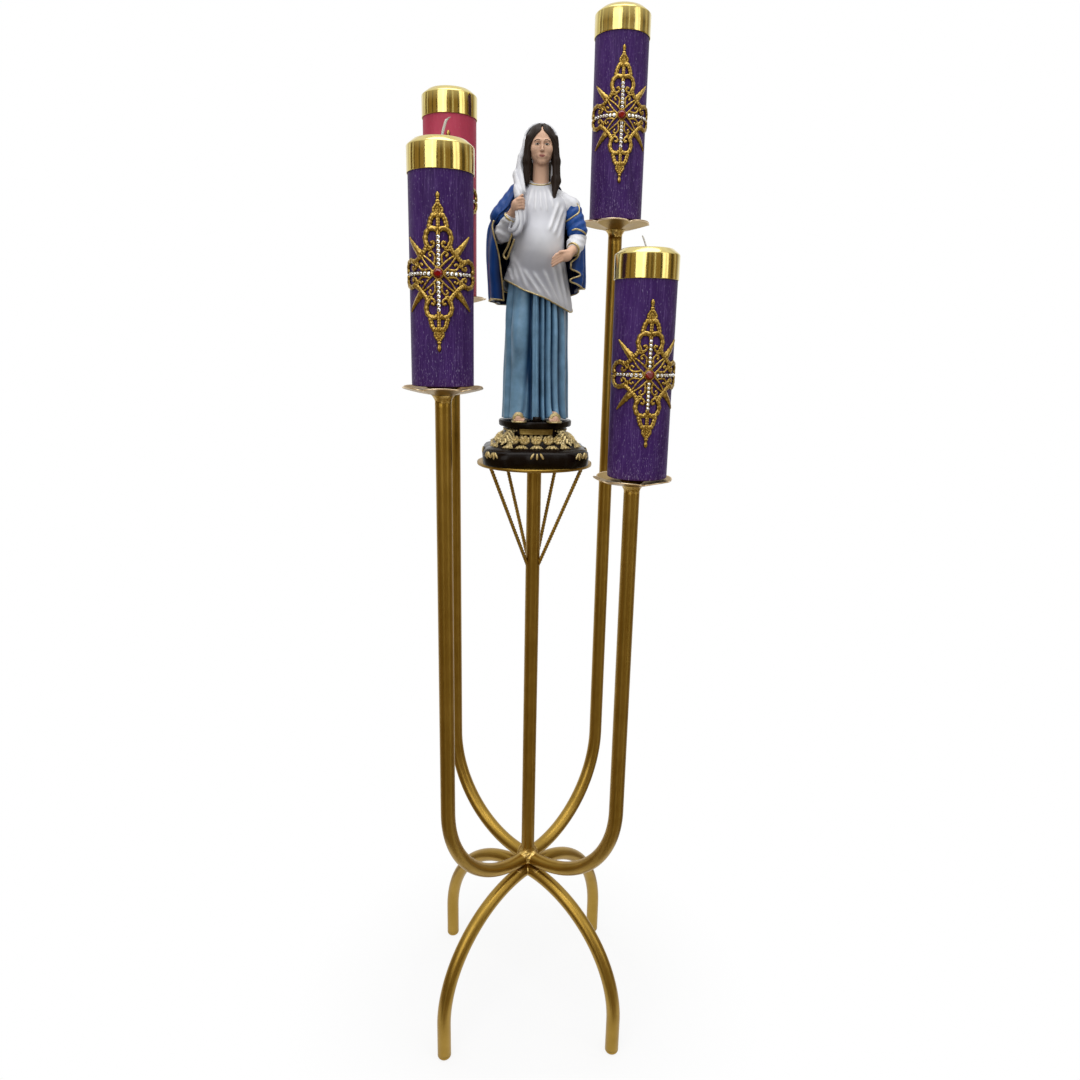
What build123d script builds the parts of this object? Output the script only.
from build123d import *
import math
import os

os.makedirs("parts", exist_ok=True)

# All lengths are in millimetres and all angles in degrees. +Z is up and the front is -Y.

# Frame tube: three quarter inch tube, bent and welded.
TUBE_D = 19.05
TUBE_WALL = 1.5
ARM_REACH = 157.0
ARM_LEVEL = 11.0
LEG_BEND = 163.0
LEG_LEVEL = 6.0
LEG_STRAIGHT = 47.0
HUB_GAP = 3.0
FRONT_RIGHT_TOP_Z = 823.5
FRONT_LEFT_TOP_Z = 925.5
BACK_LEFT_TOP_Z = 1034.0
BACK_RIGHT_TOP_Z = 1135.5
WELD_FIT = 0.1

# Feet: a closed rounded plug in the end of each leg.
PLUG_H = 7.0
PLUG_ROUND = 4.0
PLUG_STEM = 16.0

# Welds at the hub.
WELD_LEG = 5.5
WELD_RISE = 5.0
WELD_LIP = 0.8
NUGGET_R = 7.5

# Statue plate and its braces.
PLATE_D = 150.0
PLATE_T = 4.0
PLATE_TOP_Z = 834.5
BRACE_D = 5.0
BRACE_LOW_Z = 694.0
BRACE_INSET = 9.0
BRACE_ANGLES = (210.0, 335.0, 58.0, 125.0)

# Candle pan: six flat petals round a flat centre, pressed from sheet.
PETALS = 6
PAN_TIP_R = 46.5
PAN_NOTCH_R = 42.5
PAN_FLAT = 12.0
PAN_DEPTH = 8.0
PAN_SHEET = 1.5
NECK_FLARE = 4.0
NECK_H = 9.0
PAN_ANGLE = {"front_right": 8.0, "front_left": 32.0, "back_left": 20.0, "back_right": 17.0}

# Pricket: a cone seat with a spike.
SEAT_FOOT_R = 10.0
SEAT_TOP_R = 22.0
SEAT_OVER_RIM = 1.0
SPIKE_R = 3.0
SPIKE_TIP_R = 0.6
SPIKE_H = 26.0

# Candle, with a loose socket over the spike.
CANDLE_D = 70.0
CANDLE_H = 253.0
CANDLE_EDGE = 0.8
SOCKET_PLAY = 6.5
SOCKET_CLEAR = 3.0
MELT_R = 16.0
MELT_DEPTH = 7.0
# How far a candle stands to the right of the middle of its pan.
FRONT_RIGHT_SHIFT = 5.0
BACK_LEFT_SHIFT = -2.0
BACK_RIGHT_SHIFT = -1.0

# Cap over the candle top.
CAP_CLEAR = 0.35
CAP_WALL = 0.8
CAP_SKIRT = 27.0
CAP_BEVEL_IN = 7.5
CAP_BEVEL_UP = 6.0
CAP_HOLE_R = 15.0

# Wicks: lean sideways and height over the melt pool.
WICK_R = 1.5
WICK_ROOT = 15.0
FRONT_RIGHT_LEAN = -7.0
FRONT_RIGHT_RISE = 22.0
FRONT_LEFT_LEAN = 10.0
FRONT_LEFT_RISE = 31.0
BACK_LEFT_LEAN = 3.0
BACK_LEFT_RISE = 14.0
BACK_RIGHT_LEAN = 2.0
BACK_RIGHT_RISE = 14.0
WICK_FIT = 0.1

# Filigree cross, laid out flat: across is along the curve of the candle, up is along its axis.
# How far up the free wall each cross was glued, as a share of the room that it leaves.
CROSS_LOW_SHARES = {"front_right": 0.64, "front_left": 0.63, "back_left": 0.66, "back_right": 0.72}
CROSS_ANGLE = {"front_right": 3.0, "front_left": -2.0, "back_left": 0.0, "back_right": -3.0}
CROSS_RELIEF = 2.2
CROSS_GLUE = 0.1
SPINE_W = 4.2
SPINE_SIDE = 49.0
CROSS_HALF = 80.5
# Each ring is its place up the arm, half width, half height and band width, as shares of CROSS_HALF.
LONG_RING_SHARES = ((0.43, 0.172, 0.14, 0.05), (0.63, 0.118, 0.115, 0.043), (0.79, 0.072, 0.085, 0.034))
# Each bead is its place up the arm, its half width and its half height, as shares of CROSS_HALF.
LONG_BEAD_SHARES = ((0.885, 0.034, 0.046), (0.95, 0.024, 0.05))
FAN_OUT = 37.0
FAN_HALF_W = 12.5
FAN_HALF_H = 14.5
FAN_BAND = 3.6
BOSS_R = 7.5
STAY_W = 2.6
STAY_OUT = 15.0
STAY_UP = 25.0
RAY_ROOT_SHARE = 0.83
RAY_ROOT_W = 7.0
RAY_TIP_OUT = 38.0
RAY_TIP_UP = 39.0
RAY_TIP_W = 2.2
RAY_PATCH_OUT = 26.0
STONE_R = 1.9
STONE_TOP_R = 1.1
STONE_H = 1.4
STONE_FIRST = 9.5
STONE_PITCH = 4.5
STONE_COUNT = 7
GEM_R = 5.0
GEM_TOP_R = 2.8
GEM_H = 3.2

# Statue pedestal, from the plinth up.
PLINTH_W = 136.0
PLINTH_DEEP = 130.0
PLINTH_ROUND = 34.0
PLINTH_H = 21.5
PLINTH_EDGE = 3.0
BAND_FOOT_W = 116.0
BAND_FOOT_DEEP = 107.0
BAND_FOOT_ROUND = 34.0
BAND_H = 15.5
NECK_W = 82.0
NECK_DEEP = 72.0
NECK_ROUND_SHARE = 0.47
NECK_RISE = 9.5
SLAB_W = 94.0
SLAB_DEEP = 84.0
SLAB_H = 8.0
NAME_W = 43.0
NAME_MARGIN = 0.75
NAME_T = 1.6

# Figure: each section is height over the pedestal, half width, half depth, shift right and shift back,
# as shares of the height of the figure.
FIGURE_H = 350.0
SKIRT_SHARES = ((0, 0.117, 0.091, 0, 0), (0.214, 0.111, 0.089, 0, 0), (0.471, 0.111, 0.094, 0, 0))
TUNIC_SHARES = (
    (0.377, 0.123, 0.103, 0, 0),
    (0.543, 0.106, 0.117, 0, -0.02),
    (0.614, 0.097, 0.114, 0, -0.02),
    (0.7, 0.089, 0.083, 0, -0.006),
    (0.771, 0.091, 0.06, 0, 0.006),
    (0.811, 0.04, 0.037, 0.003, 0.006),
)
HEM_MID_Z = 152.0
HEM_ANGLE = 22.0
LEFT_MANTLE_SHARES = (
    (0.417, 0.04, 0.057, -0.12, 0.011),
    (0.557, 0.046, 0.069, -0.126, 0.009),
    (0.686, 0.043, 0.063, -0.106, 0.009),
    (0.777, 0.037, 0.043, -0.06, 0.011),
)
RIGHT_MANTLE_SHARES = (
    (0.457, 0.037, 0.054, 0.129, 0.011),
    (0.571, 0.043, 0.066, 0.126, 0.009),
    (0.686, 0.04, 0.06, 0.109, 0.009),
    (0.777, 0.037, 0.043, 0.06, 0.011),
)
HAIR_SHARES = (
    (0.729, 0.069, 0.031, -0.006, 0.034),
    (0.843, 0.066, 0.046, 0.006, 0.023),
    (0.929, 0.061, 0.057, 0.009, 0.014),
    (0.98, 0.04, 0.04, 0.009, 0.014),
    (1, 0.014, 0.014, 0.009, 0.014),
)
# Each rounded form is half width, half depth, half height and its centre, as shares of FIGURE_H.
FACE_SHARES = (0.046, 0.051, 0.066, 0.009, -0.017, 0.926)
NECK_SHARES = (0.027, 0.027, 0.063, 0.007, 0, 0.829)
LEFT_SLEEVE_SHARES = (0.037, 0.037, 0.051, -0.123, -0.057, 0.657)
LEFT_WRIST_SHARES = (0.026, 0.026, 0.029, -0.106, -0.071, 0.703)
LEFT_HAND_SHARES = (0.026, 0.023, 0.037, -0.083, -0.086, 0.737)
RIGHT_SLEEVE_SHARES = (0.034, 0.04, 0.043, 0.126, -0.063, 0.609)
RIGHT_WRIST_SHARES = (0.026, 0.026, 0.026, 0.109, -0.094, 0.583)
RIGHT_HAND_SHARES = (0.037, 0.02, 0.026, 0.083, -0.114, 0.563)
LEFT_FOOT_SHARES = (0.026, 0.037, 0.014, -0.063, -0.074, 0.009)
RIGHT_FOOT_SHARES = (0.026, 0.037, 0.014, 0.063, -0.074, 0.009)


# Values worked out from the ones above.
TUBE_R = TUBE_D / 2
BORE_R = TUBE_R - TUBE_WALL
ARM_BEND = ARM_REACH - ARM_LEVEL
LEG_REACH = LEG_BEND + LEG_LEVEL
LEG_AXIS_Z = PLUG_H + LEG_STRAIGHT + LEG_BEND
ARM_AXIS_Z = LEG_AXIS_Z + TUBE_D + HUB_GAP
BRACE_REACH = PLATE_D / 2 - BRACE_INSET
CORNERS = ("front_right", "front_left", "back_left", "back_right")
ARM_TOP_Z = dict(zip(CORNERS, (FRONT_RIGHT_TOP_Z, FRONT_LEFT_TOP_Z, BACK_LEFT_TOP_Z, BACK_RIGHT_TOP_Z)))
CANDLE_SHIFT_X = dict(zip(CORNERS, (FRONT_RIGHT_SHIFT, 0, BACK_LEFT_SHIFT, BACK_RIGHT_SHIFT)))
WICK_LEAN = dict(zip(CORNERS, (FRONT_RIGHT_LEAN, FRONT_LEFT_LEAN, BACK_LEFT_LEAN, BACK_RIGHT_LEAN)))
WICK_RISE = dict(zip(CORNERS, (FRONT_RIGHT_RISE, FRONT_LEFT_RISE, BACK_LEFT_RISE, BACK_RIGHT_RISE)))
CORNER_ANGLE = {"front_right": -45.0, "front_left": -135.0, "back_left": 135.0, "back_right": 45.0}
CANDLE_R = CANDLE_D / 2
CAP_R = CANDLE_R + CAP_CLEAR + CAP_WALL
CROSS_IN_R = CANDLE_R + CROSS_GLUE
CROSS_OUT_R = CROSS_IN_R + CROSS_RELIEF
CAP_FOOT_Z = CANDLE_H + CAP_WALL - CAP_SKIRT - CAP_BEVEL_UP
CROSS_ROOM = CAP_FOOT_Z - CROSS_HALF - CROSS_HALF
CROSS_Z = {corner: CROSS_HALF + share * CROSS_ROOM for corner, share in CROSS_LOW_SHARES.items()}
NECK_ROUND = NECK_ROUND_SHARE * min(NECK_W, NECK_DEEP)
PEDESTAL_H = PLINTH_H + BAND_H + NECK_RISE + SLAB_H


def save(name, shape):
    export_step(shape, "parts/" + name + ".step")


def upright(radius, low, high):
    return Pos(0, 0, low) * Cylinder(radius, high - low, align=(Align.CENTER, Align.CENTER, Align.MIN))


def arm_place(corner):
    angle = math.radians(CORNER_ANGLE[corner])
    return ARM_REACH * math.cos(angle), ARM_REACH * math.sin(angle)


def seat_z(corner):
    return ARM_TOP_Z[corner] + PAN_SHEET + PAN_DEPTH + SEAT_OVER_RIM


def mitre_wedge(reach, height):
    outline = Polyline((0, 0), (reach, reach), (reach, -reach), close=True)
    return extrude(make_face(outline), amount=height)


# A tube that leaves the hub level, takes one bend and runs straight to its end.
def bent_tube(reach, bend, hub_z, end_z):
    rise = bend if end_z > hub_z else -bend
    start = reach - bend
    half = math.radians(45)
    middle = (start + bend * math.sin(half), 0, hub_z + rise * (1 - math.cos(half)))
    level = Line((0, 0, hub_z), (start, 0, hub_z))
    curve = ThreePointArc((start, 0, hub_z), middle, (reach, 0, hub_z + rise))
    straight = Line((reach, 0, hub_z + rise), (reach, 0, end_z))
    ring = Circle(TUBE_R) - Circle(BORE_R)
    tube = sweep(Plane(origin=(0, 0, hub_z), z_dir=(1, 0, 0)) * ring, path=Wire([level, curve, straight]))
    return tube & mitre_wedge(reach + TUBE_D, max(hub_z, end_z) + TUBE_D)


# Two crossing rods that stand for the arms or legs where they meet.
def crossing(radius, z):
    rod = Rot(0, 90, 0) * Cylinder(radius, ARM_REACH)
    return Pos(0, 0, z) * (Rot(0, 0, 45) * rod + Rot(0, 0, -45) * rod)


def post():
    tube = upright(TUBE_R, ARM_AXIS_Z, PLATE_TOP_Z - PLATE_T)
    tube -= upright(BORE_R, ARM_AXIS_Z, PLATE_TOP_Z - PLATE_T)
    tube -= crossing(TUBE_R + WELD_FIT, ARM_AXIS_Z)
    return tube.solids().sort_by(SortBy.VOLUME)[-1]


# The bead round the foot of the post, filling the corners between the arms.
def post_weld():
    high = TUBE_R + WELD_RISE
    bead = Pos(0, 0, ARM_AXIS_Z) * Cone(
        TUBE_R + WELD_LEG, TUBE_R + WELD_LIP, high, align=(Align.CENTER, Align.CENTER, Align.MIN)
    )
    bead -= crossing(TUBE_R + WELD_FIT, ARM_AXIS_Z)
    return bead - upright(TUBE_R + WELD_FIT, ARM_AXIS_Z, ARM_AXIS_Z + high)


# The nugget of weld between the leg crossing and the arm crossing.
def hub_weld():
    nugget = upright(NUGGET_R, LEG_AXIS_Z, ARM_AXIS_Z)
    nugget -= crossing(TUBE_R + WELD_FIT, ARM_AXIS_Z)
    return nugget - crossing(TUBE_R + WELD_FIT, LEG_AXIS_Z)


def foot_plug():
    head = fillet(upright(TUBE_R, 0, PLUG_H).edges().sort_by(Axis.Z)[0], PLUG_ROUND)
    return head + upright(BORE_R - WELD_FIT, PLUG_H, PLUG_H + PLUG_STEM)


# A brace runs from the post to the underside of the plate.
def brace(bearing):
    top_z = PLATE_TOP_Z - PLATE_T
    rise = top_z - BRACE_LOW_Z
    run = BRACE_REACH - TUBE_R
    tilt = math.degrees(math.atan2(run, rise))
    length = math.hypot(run, rise) + BRACE_D + BRACE_D
    rod = Cylinder(BRACE_D / 2, length, align=(Align.CENTER, Align.CENTER, Align.CENTER))
    middle = Pos((BRACE_REACH + TUBE_R) / 2, 0, (top_z + BRACE_LOW_Z) / 2)
    rod = middle * Rot(0, tilt, 0) * rod
    rod -= upright(TUBE_R + WELD_FIT, BRACE_LOW_Z - TUBE_D, top_z)
    rod -= upright(PLATE_D, top_z, PLATE_TOP_Z + PLATE_T)
    return Rot(0, 0, bearing) * rod.solids().sort_by(SortBy.VOLUME)[-1]


# One petal: a sloping slab cut to the petal outline.
def petal():
    half = math.radians(180 / PETALS)
    slope = PAN_DEPTH / (PAN_TIP_R - PAN_FLAT)
    side = PAN_FLAT * math.tan(half)
    notch = (PAN_NOTCH_R * math.cos(half), PAN_NOTCH_R * math.sin(half))
    edge = Polyline((notch[0], -notch[1]), (PAN_FLAT, -side), (PAN_FLAT, side), notch)
    rim = ThreePointArc(notch, (PAN_TIP_R, 0), (notch[0], -notch[1]))
    outline = extrude(make_face([*edge.edges(), rim]), amount=PAN_TIP_R)
    top = PAN_DEPTH + slope * PAN_SHEET
    far = PAN_TIP_R + PAN_SHEET
    profile = Polyline(
        (PAN_FLAT, 0), (far, top), (far, top + PAN_SHEET), (PAN_FLAT, PAN_SHEET), close=True
    )
    slab = extrude(Plane.XZ * make_face(profile), amount=PAN_TIP_R, both=True)
    return slab & outline


def pan():
    flat = RegularPolygon(PAN_FLAT, PETALS, major_radius=False, rotation=180 / PETALS)
    centre = extrude(flat, amount=PAN_SHEET)
    leaf = petal()
    for index in range(PETALS):
        centre += Rot(0, 0, index * 360 / PETALS) * leaf
    return centre


# The flared neck of weld under a pan.
def pan_neck():
    inside = TUBE_R + WELD_FIT
    low = Line((inside, -NECK_H), (inside, 0))
    rim = Line((inside, 0), (inside + NECK_FLARE, 0))
    bulge = (inside + NECK_FLARE / 4, -NECK_H / 4)
    flare = ThreePointArc((inside + NECK_FLARE, 0), bulge, (inside, -NECK_H))
    return revolve(Plane.XZ * make_face([low, rim, flare]), axis=Axis.Z)


def pricket():
    seat_h = PAN_DEPTH + SEAT_OVER_RIM
    seat = Cone(SEAT_FOOT_R, SEAT_TOP_R, seat_h, align=(Align.CENTER, Align.CENTER, Align.MIN))
    spike = Cone(SPIKE_R, SPIKE_TIP_R, SPIKE_H, align=(Align.CENTER, Align.CENTER, Align.MIN))
    return seat + Pos(0, 0, seat_h) * spike


# The candle is turned from its outline: flat foot, bevelled top and a melt pool.
def candle():
    bevel_in = CAP_BEVEL_IN + CAP_CLEAR
    top_r = CANDLE_R - bevel_in
    outline = Polyline(
        (0, 0),
        (CANDLE_R - CANDLE_EDGE, 0),
        (CANDLE_R, CANDLE_EDGE),
        (CANDLE_R, CANDLE_H - CAP_BEVEL_UP - CAP_CLEAR),
        (top_r, CANDLE_H),
        (MELT_R, CANDLE_H),
        (MELT_R / 2, CANDLE_H - MELT_DEPTH),
        (0, CANDLE_H - MELT_DEPTH),
        close=True,
    )
    body = revolve(Plane.XZ * make_face(outline), axis=Axis.Z)
    body -= upright(SPIKE_R + SOCKET_PLAY, 0, SPIKE_H + SOCKET_CLEAR)
    pool = CANDLE_H - MELT_DEPTH
    return body - upright(WICK_R + WICK_FIT, pool - WICK_ROOT, pool)


# A wick stands in the melt pool and bows over to its tip.
def wick(lean, rise):
    pool = CANDLE_H - MELT_DEPTH
    root = pool - WICK_ROOT
    radius = (lean * lean + rise * rise) / (2 * lean)
    half = math.atan2(lean, rise)
    middle = (radius * (1 - math.cos(half)), 0, pool + radius * math.sin(half))
    low = Line((0, 0, root), (0, 0, pool))
    bow = ThreePointArc((0, 0, pool), middle, (lean, 0, pool + rise))
    return sweep(Pos(0, 0, root) * Circle(WICK_R), path=Wire([low, bow]))


def cap():
    high = CAP_SKIRT + CAP_BEVEL_UP
    top_r = CAP_R - CAP_BEVEL_IN
    outline = Polyline(
        (CAP_R - CAP_WALL, 0),
        (CAP_R, 0),
        (CAP_R, CAP_SKIRT),
        (top_r, high),
        (CAP_HOLE_R, high),
        (CAP_HOLE_R, high - CAP_WALL),
        (top_r - CAP_WALL / 2, high - CAP_WALL),
        (CAP_R - CAP_WALL, CAP_SKIRT - CAP_WALL / 2),
        close=True,
    )
    return revolve(Plane.XZ * make_face(outline), axis=Axis.Z)


# A plane that touches the candle at a distance round its curve and a height.
def on_curve(across, up, radius):
    angle = across / CANDLE_R
    sine = math.sin(angle)
    cosine = math.cos(angle)
    return Plane(
        origin=(radius * sine, -radius * cosine, up), x_dir=(cosine, sine, 0), z_dir=(sine, -cosine, 0)
    )


def relief_shell():
    high = CANDLE_H / 2
    return upright(CROSS_OUT_R, -high, high) - upright(CROSS_IN_R, -high, high)


# A flat drawing pressed onto the curve of the candle.
def pressed(drawing, across, shell):
    face = on_curve(across, 0, CROSS_OUT_R + CROSS_RELIEF) * drawing
    return extrude(face, amount=-(CANDLE_R / 2)) & shell


def ring_face(half_w, half_h, band):
    return Ellipse(half_w, half_h) - Ellipse(half_w - band, half_h - band)


def bar_face(start, end, start_w, end_w):
    angle = math.atan2(end[1] - start[1], end[0] - start[0])
    side = (-math.sin(angle), math.cos(angle))
    corners = []
    turns = ((start, start_w, 1), (end, end_w, 1), (end, end_w, -1), (start, start_w, -1))
    for point, width, sign in turns:
        reach = sign * width / 2
        corners.append((point[0] + side[0] * reach, point[1] + side[1] * reach))
    return make_face(Polyline(*corners, close=True))


# The tall middle of the cross: spine, stacked rings, beads at the tips and stays.
def tall_drawing():
    rings = [[CROSS_HALF * share for share in row] for row in LONG_RING_SHARES]
    beads = [[CROSS_HALF * share for share in row] for row in LONG_BEAD_SHARES]
    tip = beads[-1][0]
    drawing = Rectangle(SPINE_W / 2, tip + tip) + Circle(BOSS_R)
    drawing += Rectangle(SPINE_W, rings[-1][0] * 2)
    for sign in (1, -1):
        for place, half_w, half_h, band in rings:
            drawing += Pos(0, sign * place) * ring_face(half_w, half_h, band)
        for place, half_w, half_h in beads:
            drawing += Pos(0, sign * place) * Ellipse(half_w, half_h)
        for hand in (1, -1):
            end = (hand * STAY_OUT, sign * STAY_UP)
            drawing += bar_face((0, 0), end, STAY_W, STAY_W)
    return drawing


# The level bar of the cross, a slice of the shell between two angles.
def level_spine(shell):
    reach = SPINE_SIDE / CANDLE_R
    steps = 8
    outline = [(0, 0)]
    for index in range(steps + 1):
        angle = reach * (2 * index / steps - 1)
        outline.append((CANDLE_D * math.sin(angle), -CANDLE_D * math.cos(angle)))
    slab = extrude(make_face(Polyline(*outline, close=True)), amount=SPINE_W / 2, both=True)
    return slab & shell


def ray_drawing(hand, sign):
    root_out = RAY_ROOT_SHARE * STAY_OUT
    root = (hand * (root_out - RAY_PATCH_OUT), sign * RAY_ROOT_SHARE * STAY_UP)
    tip = (hand * (RAY_TIP_OUT - RAY_PATCH_OUT), sign * RAY_TIP_UP)
    return bar_face(root, tip, RAY_ROOT_W, RAY_TIP_W)


def cross():
    shell = relief_shell()
    whole = pressed(tall_drawing(), 0, shell) + level_spine(shell)
    fan = ring_face(FAN_HALF_W, FAN_HALF_H, FAN_BAND)
    for hand in (1, -1):
        whole += pressed(fan, hand * FAN_OUT, shell)
        whole += pressed(ray_drawing(hand, 1) + ray_drawing(hand, -1), hand * RAY_PATCH_OUT, shell)
    return whole


def stone_places():
    for index in range(STONE_COUNT):
        reach = STONE_FIRST + STONE_PITCH * index
        yield (0, reach)
        yield (0, -reach)
        yield (reach, 0)
        yield (-reach, 0)


def stones():
    stone = Cone(STONE_R, STONE_TOP_R, STONE_H, align=(Align.CENTER, Align.CENTER, Align.MIN))
    return [on_curve(across, up, CROSS_OUT_R) * stone for across, up in stone_places()]


def gem():
    shape = Cone(GEM_R, GEM_TOP_R, GEM_H, align=(Align.CENTER, Align.CENTER, Align.MIN))
    return on_curve(0, 0, CROSS_OUT_R) * shape


def pedestal():
    plinth = extrude(RectangleRounded(PLINTH_W, PLINTH_DEEP, PLINTH_ROUND), amount=PLINTH_H)
    plinth = chamfer(plinth.edges().group_by(Axis.Z)[-1], PLINTH_EDGE)
    band_foot = Pos(0, 0, PLINTH_H) * RectangleRounded(BAND_FOOT_W, BAND_FOOT_DEEP, BAND_FOOT_ROUND)
    band_top_z = PLINTH_H + BAND_H
    band_top = Pos(0, 0, band_top_z) * RectangleRounded(NECK_W, NECK_DEEP, NECK_ROUND)
    band = loft([band_foot, band_top])
    neck = extrude(band_top, amount=NECK_RISE)
    slab = extrude(Ellipse(SLAB_W / 2, SLAB_DEEP / 2), amount=SLAB_H)
    return plinth + band + neck + Pos(0, 0, band_top_z + NECK_RISE) * slab


# The nameplate follows the front of the neck.
def nameplate():
    low = PLINTH_H + BAND_H + NAME_MARGIN
    high = NECK_RISE - NAME_MARGIN - NAME_MARGIN
    inner = RectangleRounded(NECK_W, NECK_DEEP, NECK_ROUND)
    outer = RectangleRounded(NECK_W + NAME_T + NAME_T, NECK_DEEP + NAME_T + NAME_T, NECK_ROUND + NAME_T)
    band = extrude(outer - inner, amount=high)
    front = Box(NAME_W, NECK_DEEP, high, align=(Align.CENTER, Align.MAX, Align.MIN))
    return Pos(0, 0, low) * (band & front)


def draped(sections):
    faces = []
    for section in sections:
        height, half_w, half_d, right, back = (FIGURE_H * share for share in section)
        faces.append(Pos(right, back, height) * Ellipse(half_w, half_d))
    return loft(faces)


def tunic():
    body = draped(TUNIC_SHARES)
    below = Box(PLATE_D, PLATE_D, PLATE_D, align=(Align.CENTER, Align.CENTER, Align.MAX))
    return body - Pos(0, 0, HEM_MID_Z) * Rot(0, HEM_ANGLE, 0) * below


def round_form(shares):
    half_w, half_d, half_h, right, back, up = (FIGURE_H * share for share in shares)
    ball = scale(Sphere(half_w), by=(1, half_d / half_w, half_h / half_w))
    return Pos(right, back, up) * ball


def figure():
    whole = draped(SKIRT_SHARES) + tunic()
    for sections in (LEFT_MANTLE_SHARES, RIGHT_MANTLE_SHARES, HAIR_SHARES):
        whole += draped(sections)
    left_arm = (LEFT_SLEEVE_SHARES, LEFT_WRIST_SHARES, LEFT_HAND_SHARES)
    right_arm = (RIGHT_SLEEVE_SHARES, RIGHT_WRIST_SHARES, RIGHT_HAND_SHARES)
    feet = (LEFT_FOOT_SHARES, RIGHT_FOOT_SHARES)
    for form in (FACE_SHARES, NECK_SHARES, *left_arm, *right_arm, *feet):
        whole += round_form(form)
    ground = Box(PLATE_D, PLATE_D, PLATE_D, align=(Align.CENTER, Align.CENTER, Align.MAX))
    return whole - ground


def write_frame():
    save("centre_post", post())
    save("post_weld", post_weld())
    save("hub_weld", hub_weld())
    save("statue_plate", upright(PLATE_D / 2, PLATE_TOP_Z - PLATE_T, PLATE_TOP_Z))
    for number, bearing in enumerate(BRACE_ANGLES, 1):
        save("plate_brace_" + str(number), brace(bearing))
    leg = bent_tube(LEG_REACH, LEG_BEND, LEG_AXIS_Z, PLUG_H)
    plug = foot_plug()
    plugs = []
    for corner in CORNERS:
        turn = Rot(0, 0, CORNER_ANGLE[corner])
        save("leg_" + corner, turn * leg)
        save("arm_" + corner, turn * bent_tube(ARM_REACH, ARM_BEND, ARM_AXIS_Z, ARM_TOP_Z[corner]))
        plugs.append(turn * Pos(LEG_REACH, 0, 0) * plug)
    save("foot_plugs", Compound(plugs))


def write_pans():
    dish = pan()
    spike = pricket()
    neck = pan_neck()
    necks = []
    for corner in CORNERS:
        x, y = arm_place(corner)
        save("pan_" + corner, Pos(x, y, ARM_TOP_Z[corner]) * Rot(0, 0, PAN_ANGLE[corner]) * dish)
        save("pricket_" + corner, Pos(x, y, ARM_TOP_Z[corner] + PAN_SHEET) * spike)
        necks.append(Pos(x, y, ARM_TOP_Z[corner]) * neck)
    save("pan_necks", Compound(necks))


def write_candles():
    wax = candle()
    trim = cross()
    gold_cap = cap()
    red_gem = gem()
    clear_stones = Compound(stones())
    for corner in CORNERS:
        x, y = arm_place(corner)
        stand = Pos(x + CANDLE_SHIFT_X[corner], y, seat_z(corner))
        front = stand * Pos(0, 0, CROSS_Z[corner]) * Rot(0, 0, CROSS_ANGLE[corner])
        lean = WICK_LEAN[corner]
        rise = WICK_RISE[corner]
        save("candle_" + corner, stand * wax)
        save("wick_" + corner, stand * wick(lean, rise))
        save("cap_" + corner, stand * Pos(0, 0, CAP_FOOT_Z) * gold_cap)
        save("cross_" + corner, front * trim)
        save("gem_" + corner, front * red_gem)
        save("stones_" + corner, front * clear_stones)


def write_statue():
    place = Pos(0, 0, PLATE_TOP_Z)
    save("statue_pedestal", place * pedestal())
    save("statue_nameplate", place * nameplate())
    save("statue_figure", place * Pos(0, 0, PEDESTAL_H) * figure())


write_frame()
write_pans()
write_candles()
write_statue()
